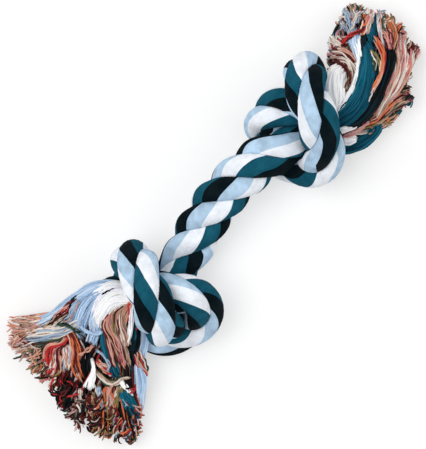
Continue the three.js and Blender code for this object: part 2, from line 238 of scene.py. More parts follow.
def chosen_route():
    half = SHAFT_LENGTH / 2
    left = np.array(LEFT_KNOT) * ROPE_DIAMETER - (half, 0, 0)
    right = np.array(RIGHT_KNOT) * ROPE_DIAMETER + (half, 0, 0)
    shaft = [
        (-half, 0, LEFT_ENTRY_HEIGHT * ROPE_DIAMETER),
        (-half + SHAFT_LENGTH * SHAFT_BOW_PLACE, SHAFT_BOW, SHAFT_HEIGHT * ROPE_DIAMETER),
        (half, 0, RIGHT_ENTRY_HEIGHT * ROPE_DIAMETER),
    ]
    return np.vstack([left[::-1], shaft, right])


def smooth_out(points, free, share):
    """Move each free point towards the middle of its neighbours."""
    middle = points.copy()
    middle[1:-1] = (points[:-2] + points[2:]) / 2
    points[free] += share * (middle - points)[free]


def push_apart(points, first, second, free):
    """Move passes of the rope that lie in each other apart, each by half."""
    apart = points[first] - points[second]
    distance = np.linalg.norm(apart, axis=1)
    close = distance < PASS_DISTANCE
    i, j = first[close], second[close]
    push = apart[close] * (0.5 * (PASS_DISTANCE - distance[close]) / distance[close])[:, None]
    total = np.zeros_like(points)
    counts = np.zeros(len(points))
    np.add.at(total, i, push)
    np.add.at(total, j, -push)
    np.add.at(counts, i, 1)
    np.add.at(counts, j, 1)
    moved = free & (counts > 0)
    points[moved] += total[moved] / counts[moved][:, None]


def settle(points, step):
    """Ease the chosen route until its passes only press on each other and on the floor."""
    home = points.copy()
    count = len(points)
    free = np.ones(count, bool)
    free[:HELD_POINTS] = False
    free[count - HELD_POINTS:] = False
    first, second = np.triu_indices(count, k=round(FREE_BEND * PASS_DISTANCE / step))
    for _ in range(SETTLE_ROUNDS):
        smooth_out(points, free, SMOOTH)
        pull = (home - points) * np.array((HOLD, HOLD, HOLD_HEIGHT))
        points[free] += pull[free]
        for _ in range(PUSHES):
            push_apart(points, first, second, free)
        points[:, 2] = np.maximum(points[:, 2], lowest_centre)
    for _ in range(EASE_ROUNDS):
        smooth_out(points, free, EASE)
    return points


def mirrored(vector, normal):
    return vector - normal * (2 * vector.dot(normal) / normal.dot(normal))


def carried(points, tangents, up, source, target):
    """The up direction at one point, carried to another without twist."""
    step = points[target] - points[source]
    once = mirrored(up, step)
    turn = tangents[target] - mirrored(tangents[source], step)
    twice = mirrored(once, turn) if turn.dot(turn) > NO_TURN else once
    twice = twice - tangents[target] * twice.dot(tangents[target])
    return twice / np.linalg.norm(twice)


def smooth_step(low, high, value):
    t = np.clip((value - low) / (high - low), 0, 1)
    return t * t * (3 - 2 * t)


def summed(rates, gaps, middle):
    """What a rate adds up to along the rope, counted from its middle."""
    sums = np.r_[0, np.cumsum((rates[1:] + rates[:-1]) / 2 * gaps)]
    return sums - sums[middle]


class Rope:
    """The rope's centre line, with the frame, the turn of its strands and its radius at each point."""

    def __init__(self):
        step = ROUTE_STEP * ROPE_DIAMETER
        settled = settle(even_points(chosen_route(), step), step)
        self.points = even_points(settled, step / 2)
        self.tangents = unit(np.gradient(self.points, axis=0))
        middle_point = np.array((0, SHAFT_BOW, SHAFT_HEIGHT * ROPE_DIAMETER))
        middle = int(np.argmin(np.linalg.norm(self.points - middle_point, axis=1)))
        self.ups = self.upward(middle)
        gaps = np.linalg.norm(np.diff(self.points, axis=0), axis=1)
        along = np.r_[0, np.cumsum(gaps)]
        self.along = along - along[middle]
        half = SHAFT_LENGTH / 2
        in_knot = smooth_step(half - rope_radius / 2, half + rope_radius, np.abs(self.along))
        self.radii = rope_radius + (knot_radius - rope_radius) * in_knot
        place = (np.abs(self.along) - half) / ROPE_DIAMETER
        share = np.where(self.along < 0, np.interp(place, *zip(*LEFT_LAY)),
                         np.interp(place, *zip(*RIGHT_LAY)))
        self.turns = summed(2 * math.pi / (LAY_LENGTH * share), gaps, middle) + CREST_ANGLE
        rates = np.interp(self.along / ROPE_DIAMETER, *zip(*BAND_RATES))
        self.bands = summed(rates, gaps, middle)

    def upward(self, middle):
        """At each point the direction that is up at the middle."""
        ups = np.zeros_like(self.points)
        tangent = self.tangents[middle]
        up = UP - tangent * UP.dot(tangent)
        ups[middle] = up / np.linalg.norm(up)
        for order in (range(middle + 1, len(ups)), range(middle - 1, -1, -1)):
            for i in order:
                before = i - order.step
                ups[i] = carried(self.points, self.tangents, ups[before], before, i)
        return ups

    def at(self, distances):
        """Centre, up, side, tangent, radius and turn at the distances."""
        tangent = unit(columns_at(distances, self.along, self.tangents))
        up = columns_at(distances, self.along, self.ups)
        up = unit(up - tangent * (up * tangent).sum(axis=1)[:, None])
        side = np.cross(tangent, up)
        radius = np.interp(distances, self.along, self.radii)
        turn = np.interp(distances, self.along, self.turns)
        return columns_at(distances, self.along, self.points), up, side, tangent, radius, turn


rope = Rope()


# The strands


def ring_distances():
    """Closer rings on the shaft, where the strands turn faster."""
    half = SHAFT_LENGTH / 2 + rope_radius
    start, end = rope.along[0] + LEFT_OPENS, rope.along[-1] - RIGHT_OPENS
    left = np.linspace(start, -half, round((-half - start) / KNOT_RING), endpoint=False)
    shaft = np.linspace(-half, half, round(2 * half / SHAFT_RING), endpoint=False)
    right = np.linspace(half, end, round((end - half) / KNOT_RING))
    return np.r_[left, shaft, right]


def turned(angle, up, side):
    """The direction at an angle from up towards the side."""
    return np.cos(angle)[..., None] * up + np.sin(angle)[..., None] * side


distances = ring_distances()
centres, ups, sides, _, radii, turns = rope.at(distances)
bands = np.interp(distances, rope.along, rope.bands)


def pressed_limits():
    """How far the rope reaches in each direction round it before it meets another pass of itself."""
    angles = np.arange(GRID) * 2 * math.pi / GRID
    limits = np.full((len(distances), GRID), NO_PASS)
    for i, distance in enumerate(distances):
        away = rope.points - centres[i]
        squares = (away ** 2).sum(axis=1)
        other = np.abs(rope.along - distance) > FREE_BEND * PASS_DISTANCE
        other &= squares < PRESS_REACH ** 2
        if not other.any():
            continue
        away, squares = away[other], squares[other]
        facing = turned(angles, ups[i], sides[i]) @ away.T
        reach = np.where(facing > LEAST_FACING, squares / (2 * np.maximum(facing, LEAST_FACING)), NO_PASS)
        limits[i] = reach.min(axis=1)
    return limits - PASS_GAP / 2


limits = pressed_limits()


def limit_at(angle):
    """The limit in any direction, between the two of the grid beside it."""
    cell = np.mod(angle, 2 * math.pi) / (2 * math.pi) * GRID
    low = np.floor(cell).astype(int) % GRID
    part = cell - np.floor(cell)
    rows = np.arange(len(distances))[:, None]
    return limits[rows, low] * (1 - part) + limits[rows, (low + 1) % GRID] * part


def round_outline(strand):
    """The outline of a strand alone, its bands where they have slipped to, and how far each goes inward."""
    band = np.arange(COLUMNS) * BANDS / COLUMNS
    shift = MIDDLE_BANDS[strand] + bands + np.interp(distances / ROPE_DIAMETER, *zip(*BAND_SLIPS[strand]))
    relative = np.mod(band[None] - shift[:, None] + BANDS / 2, BANDS) - BANDS / 2
    psi = np.clip(relative, -ARC_BANDS, ARC_BANDS) / ROUND_BANDS * 2 * math.pi
    bulge = BULGE * radii[:, None]
    inward = np.clip((np.abs(relative) - ARC_BANDS) / (BANDS / 2 - ARC_BANDS), 0, 1)
    x = (radii[:, None] - bulge + bulge * np.cos(psi)) * (1 - inward)
    y = bulge * np.sin(psi) * (1 - inward)
    return x, y, inward


def strand_vertices(strand, rng):
    yarn = np.arange(COLUMNS) // COLUMNS_PER_YARN
    ridge = np.array(RIDGE)[np.arange(COLUMNS) % COLUMNS_PER_YARN]
    per_yarn = rng.normal(0, YARN_DIFFERENCE, BANDS * YARNS_PER_BAND)[yarn]
    wave = WAVE * np.sin(distances[:, None] / WAVE_LENGTH + yarn[None] * WAVE_SHIFT)
    crest = turns + strand * 2 * math.pi / STRANDS
    x, y, inward = round_outline(strand)
    angle = crest[:, None] + np.arctan2(y, x)
    reach = np.maximum(np.hypot(x, y), LEAST_REACH)
    limit = np.maximum(limit_at(angle), LEAST_LIMIT)
    pressed = (reach ** -SOFT_PRESS + limit ** -SOFT_PRESS) ** (-1 / SOFT_PRESS)
    pressed = pressed + (1 - inward) * (ridge + per_yarn + wave)
    points = centres[:, None] + turned(angle, ups[:, None], sides[:, None]) * pressed[..., None]
    points += turned(crest, ups, sides)[:, None] * (STRAND_GAP / 2)
    points[..., 2] = np.maximum(points[..., 2], 0)
    return points


def tube_faces(count, rings, sides):
    """The faces of closed tubes, one ring of vertices after the other: the sides, then the ends."""
    row = np.arange(sides)
    following = (row + 1) % sides
    first = (np.arange(count) * rings * sides)[:, None]
    last = first + (rings - 1) * sides
    start = (first + np.arange(rings - 1) * sides)[..., None]
    quads = np.stack([start + row, start + following, start + sides + following, start + sides + row],
                     axis=-1).reshape(-1, 4)
    return quads.tolist() + (first + row[::-1]).tolist() + (last + row).tolist()


def new_mesh(name, vertices, faces, materials, picks):
    """A smooth mesh of points in the rope's frame, with a material picked for each face."""
    mesh = bpy.data.meshes.new(name)
    mesh.from_pydata((vertices + SHAFT_MIDDLE) * MM, [], faces)
    for material in materials:
        mesh.materials.append(material)
    mesh.polygons.foreach_set("material_index", np.asarray(picks, np.int32))
    mesh.polygons.foreach_set("use_smooth", np.ones(len(mesh.polygons), bool))
    mesh.update()
    thing = bpy.data.objects.new(name, mesh)
    bpy.context.scene.collection.objects.link(thing)
    return thing


# Yarn: cotton, dull, in darker and lighter patches, with fine fibres

COTTON = {"Roughness": 0.9, "Sheen Weight": 0.02, "Sheen Roughness": 0.5, "Specular IOR Level": 0.04}
PATCHES = {"Scale": 180, "Detail": 6}
FIBRES = {"Scale": 1400, "Detail": 3}
FIBRE_BUMP = {"Strength": 0.35, "Distance": 0.0004}
# Between which levels of the patches the colour turns, and how much darker and lighter it gets
PATCH_LEVELS = (0.3, 0.65)
DARKER = 3.0
LIGHTER = 1.2
LEAST_LIGHT = 0.004
FRINGE_VARIES = 0.06
LOCK_VARIES = 0.02
# The cover's colours in their order round a strand, and how much each varies
COVER = {
    "light_blue": ((180, 207, 230), 0.08),
    "white": ((238, 242, 249), 0.04),
    "teal": ((18, 84, 104), 0.08),
    "black": ((1, 17, 23), 0.06),
}
# The colour of a strand's two hidden ends
END_PICK = 1


def linear(tint):
    """A colour given as it looks, from 0 to 255, in the renderer's own scale."""
    shares = [channel / 255 for channel in tint]
    return [c / 12.92 if c <= 0.04045 else ((c + 0.055) / 1.055) ** 2.4 for c in shares]


def set_inputs(node, values):
    for name, value in values.items():
        node.inputs[name].default_value = value


def new_material(name, look):
    """A material whose surface has this look, with its nodes, its links and the surface's node."""
    material = bpy.data.materials.new(name)
    material.use_nodes = True
    nodes = material.node_tree.nodes
    surface = nodes["Principled BSDF"]
    set_inputs(surface, look)
    return material, nodes, material.node_tree.links, surface


def noise(nodes, links, place, look):
    node = nodes.new("ShaderNodeTexNoise")
    set_inputs(node, look)
    links.new(place, node.inputs["Vector"])
    return node.outputs["Fac"]


def yarn_material(name, tint, varies):
    material, nodes, links, surface = new_material(name, COTTON)
    place = nodes.new("ShaderNodeTexCoord").outputs["Object"]
    colour = linear(tint)
    dark = [c * (1 - DARKER * varies) for c in colour]
    light = [min(1, c * (1 + LIGHTER * varies) + LEAST_LIGHT) for c in colour]
    ramp = nodes.new("ShaderNodeValToRGB")
    for stop, level, shade in zip(ramp.color_ramp.elements, PATCH_LEVELS, (dark, light)):
        stop.position = level
        stop.color = (*shade, 1)
    links.new(noise(nodes, links, place, PATCHES), ramp.inputs["Fac"])
    links.new(ramp.outputs["Color"], surface.inputs["Base Color"])
    bump = nodes.new("ShaderNodeBump")
    set_inputs(bump, FIBRE_BUMP)
    links.new(noise(nodes, links, place, FIBRES), bump.inputs["Height"])
    links.new(bump.outputs["Normal"], surface.inputs["Normal"])
    return material


cover = [yarn_material(f"{name}_cotton", tint, varies) for name, (tint, varies) in COVER.items()]


def make_strand(strand):
    points = strand_vertices(strand, np.random.default_rng(STRAND_SEED + strand))
    rings = len(points)
    band = (np.arange(COLUMNS) * BANDS) // COLUMNS
    picks = np.r_[np.tile(band, rings - 1), END_PICK, END_PICK]
    faces = tube_faces(1, rings, COLUMNS)
    return new_mesh(f"strand_{strand + 1}", points.reshape(-1, 3), faces, cover, picks)


def dress_strands():
    for strand in range(STRANDS):
        piece = make_strand(strand)
        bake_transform(piece)
        number = strand + 1
        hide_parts(f"left_knot_strand_{number}", f"shaft_strand_{number}",
                    f"right_knot_strand_{number}")


dress_strands()


# The tassels: locks of loose yarn, each laid along a given line, over a fan of loose ends

YARN_SIDES = 5
YARN_RINGS = 20
CURL_RINGS = 8
FRINGE_RADIUS = 0.5
CORES = 3
# What a tube's sides are turned by, and what keeps a length from being nothing
TUBE_SIDE = (0.1, 0.2, 1.0)
LEAST_LENGTH = 1e-9
# A single yarn's thickness as a share of its kind's, and that of its cut end
RADIUS_RANGE = (0.8, 1.2)
CUT_END = 0.5
# How much closer than the tables count the yarns lie, and how far a lock's ends dive under the others
DENSITY = 1.35
DIVE = 5.0
DIVE_SHARE = 0.1
# A lock's yarns fill its section in a sunflower's order
GOLDEN_ANGLE = math.pi * (3 - math.sqrt(5))
ANGLE_DIFFERENCE = 0.1
LOCK_SPAN = 30
LOCK_POINTS = 4 * YARN_RINGS
# How loosely a lock's yarns run, and the share by which the shortest are shorter
LOCK_LOOSE = (0.55, 0.14)
MIXED_LOOSE = (0.9, 0.2)
# The slow and quick waves along the yarns: how far they turn from root to end, and how high they are
SLOW_TURNS = (4, 8)
LOCK_QUICK_TURNS = (14, 24)
FAN_QUICK_TURNS = (14, 26)
LIFT_TURNS = (6, 20)
ROOT_SWAY = 0.25
QUICK_SWAY = 0.3
QUICK_LIFT = 0.2
FAN_SWAY = (1.8, 0.5)
FAN_LIFT = (1.3, 0.4)
WAVE_GROWTH = 1.2
# The fan of mixed yarn, and the dark one under it, which is painted shade in the gaps between the locks, in
# dark colours the fringe also has: how many yarns, how far out and how high they end
FAN = (420, (0.8, 0.97), (1, 16))
PAINTED_SHADE_FAN = (160, (0.8, 0.95), (1, 6))
PAINTED_SHADE_COLOURS = "ink maroon moss"
FAN_STIFF = 0.4
# Where in the rope's opened end the fan starts, across and up, as shares of its radius
ROOT_BLUR = 0.2
ROOT_HEIGHTS = (-1, 0.1)
ROOT_SHARE = 0.85
# How far a fan yarn's end curls aside, and the share of the yarn that does
HOOK = 1.0
HOOK_SHARE = 0.16
# Up to this share of the cut edge the ends lie combed, straighter towards its start
LEFT_COMBED = 0.26
RIGHT_COMBED = 0.01
LEAST_WILD = 0.15
# The short curled ends: how many, where, and how much tufts and single ends differ in heading, turn, tilt
CURLS = 1140
TUFT = 6
TUFT_SPREAD = 0.9
CURL_REACH = (0.58, 0.97)
CURL_HEIGHTS = (3, 20)
CURL_LENGTHS = (4.5, 8.5)
CURL_SHARES = (0.7, 1.1)
TUFT_BLUR = (0.7, 1.0, 0.3)
CURL_BLUR = (0.25, 0.3, 0.1)
CURL_FUZZ = 0.12
COLOUR_BLUR = 0.02

# How much closer each colour's yarns lie, their radius, their tints and the share that has each. Pale yarns
# lie closer, so that no dark lines show between them.
LOCK_YARNS = {
    "light_blue": (1.2, 0.45, ((178, 205, 232), (209, 224, 242), (150, 176, 206)), (0.5, 0.32, 0.18)),
    "white": (1.7, 0.6, ((255, 255, 255), (252, 252, 255), (236, 236, 246)), (0.6, 0.34, 0.06)),
    "teal": (1.1, 0.5, ((14, 85, 107), (26, 105, 128), (8, 61, 80)), (0.6, 0.2, 0.2)),
    "black": (1.0, 0.45, ((10, 14, 18), (26, 34, 38), (6, 40, 52)), (0.6, 0.2, 0.2)),
}
# The colours of the mixed yarn
FRINGE = {
    "salmon": (214, 158, 138), "pink": (196, 156, 150), "rose": (212, 130, 128), "plum": (112, 62, 74),
    "red": (190, 52, 52), "maroon": (88, 34, 34), "orange": (217, 115, 74), "cream": (226, 214, 204),
    "mist": (160, 180, 202), "tan": (180, 152, 128), "olive": (134, 122, 78),
    "moss": (54, 74, 62), "ink": (20, 21, 24), "petrol": (12, 84, 108),
}
FRINGE_NAMES = list(FRINGE)

# The locks of plain yarn: piece, yarn count, thickness, all along or at each point, and the line. Its points
# are given where the camera sees them: the photograph's pixel, the height above the floor and the width.
LEFT_LOCKS = [
    ("white_1", 120, (9, 10, 9, 7, 5), [(138, 298, 30, 12), (121, 297, 32, 13), (107, 303, 31, 13),
     (99, 316, 28, 9), (95, 332, 24, 6)]),
    ("white_1", 40, (7, 6, 6, 5, 4), [(134, 291, 29, 6), (115, 286, 30, 5), (102, 288, 29, 5),
     (93, 297, 27, 6), (88, 310, 25, 5)]),
    ("white_2", 8, 2, [(132, 296, 34, 1.8), (131, 312, 35, 1.8), (130, 330, 33, 1.8), (126, 347, 29, 2)]),
    ("white_3", 6, (1, 1, 2, 2, 2), [(92, 358, 22, 0.6), (93, 365, 24, 0.8), (93, 373, 24, 2.4),
     (91, 382, 23, 5), (90, 391, 20, 8)]),
    ("white_3", 5, 2, [(119, 378, 21, 2), (126, 388, 20, 2), (132, 397, 17, 1.6)]),
    ("light_blue_1", 75, (7, 7, 7, 6, 5, 5, 5), [(130, 289, 28, 7), (106, 287, 28, 8), (92, 290, 27, 9),
     (79, 298, 25, 8), (65, 308, 22, 7), (50, 319, 19, 6), (31, 326, 15, 6)]),
    ("light_blue_1", 20, 4, [(92, 308, 25, 4), (78, 321, 25, 5), (62, 329, 22, 6), (46, 333, 19, 6)]),
    ("light_blue_2", 60, (6, 6, 6, 5, 4, 4), [(126, 296, 27, 7), (103, 294, 29, 8), (90, 303, 28, 9),
     (83, 316, 27, 8), (80, 328, 25, 6), (84, 340, 23, 5)]),
    ("light_blue_2", 34, 4, [(100, 304, 30, 4), (94, 318, 29, 5), (95, 332, 27, 6), (90, 345, 25, 6)]),
    ("light_blue_2", 7, (1.4, 1.4, 1.4, 1.2), [(80, 326, 28, 1.4), (87, 331, 30, 1.4), (96, 334, 30, 1.4),
     (104, 331, 31, 1.2)]),
    ("light_blue_3", 50, (6, 5, 5, 5, 5, 4, 3), [(140, 312, 22, 5), (145, 332, 22, 6), (143, 348, 21, 5),
     (139, 362, 20, 5), (141, 380, 18, 7), (140, 396, 15, 5), (139, 411, 12, 3)]),
    ("teal_1", 40, (4, 5, 5, 4, 3), [(110, 322, 28, 4), (105, 338, 28, 5), (108, 352, 26, 6),
     (112, 366, 23, 6), (118, 379, 20, 4)]),
    ("teal_2", 26, (5, 5, 4, 4), [(138, 302, 28, 4), (135, 318, 28, 3.4), (134, 332, 26, 3.4),
     (134, 347, 24, 3)]),
    ("teal_2", 40, (4, 4, 4, 3), [(121, 390, 19, 3), (128, 400, 18, 7), (133, 408, 16, 7),
     (136, 419, 12, 4)]),
    ("teal_3", 20, 5, [(138, 320, 16, 5), (134, 352, 16, 5), (126, 380, 12, 6)]),
    ("teal_3", 24, 5, [(128, 300, 16, 8), (96, 326, 14, 8), (66, 352, 11, 8)]),
    ("black_1", 20, (5, 4, 3, 2), [(134, 286, 24, 5), (119, 282, 25, 4), (110, 280, 24, 3),
     (103, 282, 22, 1.6)]),
    ("black_1", 1, 0, [(115, 289, 35.4, 0), (107, 291, 35.6, 0), (102, 297, 35, 0)]),
    ("black_1", 5, 1.4, [(78, 294, 28, 1), (71, 302, 27, 1.4), (70, 312, 27, 1.4), (72, 320, 27, 1)]),
    ("black_1", 5, 1.4, [(72, 299, 26.6, 1.2), (63, 310, 25, 1.6), (52, 321, 23, 1.4), (42, 327, 20, 1.4)]),
    ("black_2", 44, 5, [(96, 330, 18, 6), (88, 348, 18, 8), (85, 362, 18, 8), (88, 378, 15, 6)]),
    ("black_2", 26, (5, 5, 4, 4), [(137, 326, 25, 4), (136, 344, 25, 4), (130, 352, 24, 6),
     (132, 368, 20, 5)]),
    ("black_3", 50, (5, 5, 5, 4), [(110, 340, 12, 8), (84, 372, 13, 8), (68, 394, 13, 9), (61, 411, 8, 7)]),
]
RIGHT_LOCKS = [
    ("white_1", 95, (6, 8, 8, 7, 5), [(334, 122, 28, 5), (337, 104, 31, 9), (336, 88, 31, 12),
     (337, 76, 28, 11), (342, 68, 23, 7)]),
    ("white_2", 30, (4, 4, 4, 3, 3, 2), [(334, 122, 32, 3), (343, 106, 34, 3), (352, 91, 34, 3),
     (358, 77, 32, 3), (360, 62, 29, 2), (361, 46, 26, 1.6)]),
    ("white_2", 4, 2, [(360, 66, 30, 2), (358.5, 54, 30, 3.4), (357, 43, 28, 4), (355, 35, 25, 4)]),
    ("white_3", 26, (5, 5, 3), [(328, 142, 22, 5), (345, 140, 23, 5), (357, 138, 21, 4)]),
    ("white_3", 26, (5, 4, 3, 3), [(330, 132, 30, 5), (343, 129, 31, 4.5), (350, 127, 30, 3),
     (358, 123, 28, 2)]),
    ("light_blue_1", 34, (2, 3, 4, 4, 4), [(361, 74, 28, 1.6), (359, 60, 28, 2.4), (356, 48, 27, 5.5),
     (354, 38, 25, 7), (353, 31, 21, 6)]),
    ("light_blue_2", 9, 3, [(355, 38, 22, 3), (351, 26, 18, 4), (350, 15, 12, 4)]),
    ("light_blue_3", 24, 5, [(332, 110, 18, 6), (348, 70, 14, 6), (352, 30, 9, 7)]),
    ("teal_1", 150, (9, 9, 9, 8, 6, 4), [(330, 124, 30, 9), (350, 110, 33, 13), (361, 92, 33, 12),
     (367, 71, 31, 9.5), (367, 53, 28, 7.5), (363, 39, 25, 4)]),
    ("teal_2", 60, (8, 7, 7, 6, 5), [(330, 146, 14, 7), (350, 148, 15, 6), (366, 140, 16, 6.5),
     (376, 128, 17, 6), (379, 114, 17, 4)]),
    ("teal_3", 30, (4, 4, 3), [(370, 44, 25, 4), (373, 28, 23, 5), (376, 14, 16, 3)]),
    ("teal_3", 26, (6, 5, 4), [(336, 126, 18, 7), (372, 122, 14, 8), (402, 108, 8, 6)]),
    ("black_1", 90, (6, 7, 7, 7, 6, 5, 4), [(332, 127, 27, 5), (356, 121, 30, 6), (372, 105, 31, 7),
     (380, 87, 30, 8), (386, 69, 29, 8), (389, 57, 28, 7), (390, 46, 25, 5)]),
    ("black_2", 8, 2, [(338, 136, 26, 1.6), (350, 130, 28, 1.6), (360, 124, 29, 2), (371, 117, 27, 2)]),
    ("black_2", 12, 2, [(382, 100, 26, 1.4), (391, 90, 25, 2), (402, 80, 20, 3)]),
    ("black_3", 18, (3, 4, 3), [(367, 66, 29, 1.6), (363, 46, 28, 3.6), (364, 34, 27, 3)]),
    ("black_3", 16, (4, 4, 3), [(342, 84, 22, 4), (337, 68, 21, 4), (333, 62, 17, 4)]),
]

# The locks of mixed yarn: colours, yarn count, thickness and line
LEFT_MIXED = [
    ("tan cream pink salmon tan cream olive", 26, (4, 4, 4, 4, 3), [(131, 300, 33, 5), (121, 312, 34, 8),
     (120, 325, 33, 8), (124, 338, 31, 6), (128, 347, 28, 4)]),
    ("maroon olive", 3, 2, [(128, 304, 34, 2), (117, 313, 35, 4), (116, 326, 34.4, 5), (121, 340, 32, 3)]),
    ("salmon tan pink rose pink maroon", 26, 4, [(112, 310, 31, 4), (108, 321, 32, 4),
     (112, 331, 32, 6), (118, 342, 30, 7), (123, 355, 28, 6), (126, 370, 24, 5)]),
    ("red salmon", 6, 2, [(131, 300, 36, 2), (128, 311, 36, 2.6), (127, 323, 35, 1.6)]),
    ("pink maroon salmon", 12, 3, [(112, 312, 31, 3), (104, 324, 31, 3), (108, 338, 31, 3),
     (112, 352, 29, 3), (117, 368, 26, 3)]),
    ("red salmon pink maroon", 10, 2, [(82, 295, 25, 2), (71, 303, 27, 2.4), (63, 311, 26, 2.4),
     (53, 321, 22, 2)]),
    ("mist pink mist", 10, 2, [(80, 298, 27, 2), (75, 306, 28, 3), (72, 315, 27, 3),
     (64, 324, 25, 3)]),
    ("maroon cream ink tan", 10, 3, [(68, 312, 26, 3), (60, 319, 26, 4), (52, 325, 24, 3),
     (41, 329, 20, 3)]),
    ("ink moss", 3, 1, [(56, 324, 27.6, 1), (68, 326, 28.4, 1), (78, 331, 29, 1), (86, 336, 29, 1)]),
    ("mist cream mist mist tan cream", 34, (4, 4, 4, 4, 3), [(88, 312, 26, 3),
     (76, 324, 26, 4), (62, 331, 25, 6), (46, 334, 22, 7), (24, 339, 16, 6)]),
    ("salmon orange cream pink salmon tan", 34, (4, 5, 5, 5), [(58, 317, 17, 5), (38, 323, 17, 8),
     (22, 327, 14, 11), (8, 330, 8, 14)]),
    ("pink cream salmon maroon", 20, (3, 4, 4), [(50, 341, 15, 5), (28, 343, 13, 7), (10, 345, 8, 9)]),
    ("maroon red olive moss", 8, 3, [(68, 328, 24, 3), (62, 338, 23, 4), (52, 342, 21, 4),
     (40, 342, 18, 4), (24, 340, 14, 4)]),
    ("red salmon red cream maroon", 14, 3, [(70, 332, 24, 3), (62, 343, 23, 3), (50, 347, 22, 4),
     (47, 358, 20, 4), (48, 368, 16, 4)]),
    ("cream red rose salmon maroon", 16, 3, [(68, 344, 22, 3), (58, 350, 22, 6), (56, 362, 20, 8),
     (54, 376, 16, 8)]),
    ("orange orange salmon maroon cream", 15, 3, [(66, 328, 26, 3), (73, 340, 25, 4), (76, 352, 23, 4.4),
     (75, 362, 21, 4), (79, 372, 18, 4), (85, 383, 15, 4)]),
    ("maroon red pink cream", 12, 3, [(76, 336, 22, 3), (82, 352, 20, 4), (78, 370, 17, 5),
     (74, 386, 13, 5)]),
    ("cream salmon rose mist", 18, 3, [(66, 344, 23, 5), (67, 358, 21, 6), (66, 372, 17, 7)]),
    ("salmon salmon orange", 3, 2, [(94, 346, 26, 2), (85, 351, 26, 2), (78, 356, 24, 2)]),
    ("cream mist", 3, 1, [(96, 350, 27, 1), (105, 356, 27, 1.2), (109, 365, 26, 1.2),
     (104, 371, 24, 1)]),
    ("red cream salmon", 8, 2, [(97, 361, 25, 3), (104, 367, 25, 3), (113, 376, 22, 3)]),
    ("olive tan moss cream", 5, 2, [(96, 370, 22, 2), (104, 380, 21, 3), (114, 384, 20, 3),
     (123, 378, 21, 2.4), (133, 377, 19, 2)]),
    ("orange salmon pink cream maroon", 18, 3, [(114, 382, 20, 4), (108, 392, 18, 5),
     (110, 402, 16, 6), (107, 413, 12, 5)]),
    ("cream olive salmon", 12, 3, [(122, 384, 20, 4), (117, 398, 17, 5), (114, 411, 13, 5)]),
    ("salmon moss red cream", 12, (3, 3, 3, 2), [(136, 350, 24, 4), (140, 360, 23, 5),
     (145, 368, 21, 4), (147, 376, 18, 3)]),
    ("mist cream mist moss", 10, 3, [(98, 386, 20, 3), (100, 398, 18, 4),
     (103, 411, 14, 5)]),
    ("salmon orange maroon cream", 14, 3, [(90, 394, 16, 4), (90, 408, 15, 5), (94, 421, 11, 5)]),
    ("cream pink", 10, 3, [(80, 388, 17, 4), (79, 400, 16, 4), (82, 410, 12, 4)]),
]
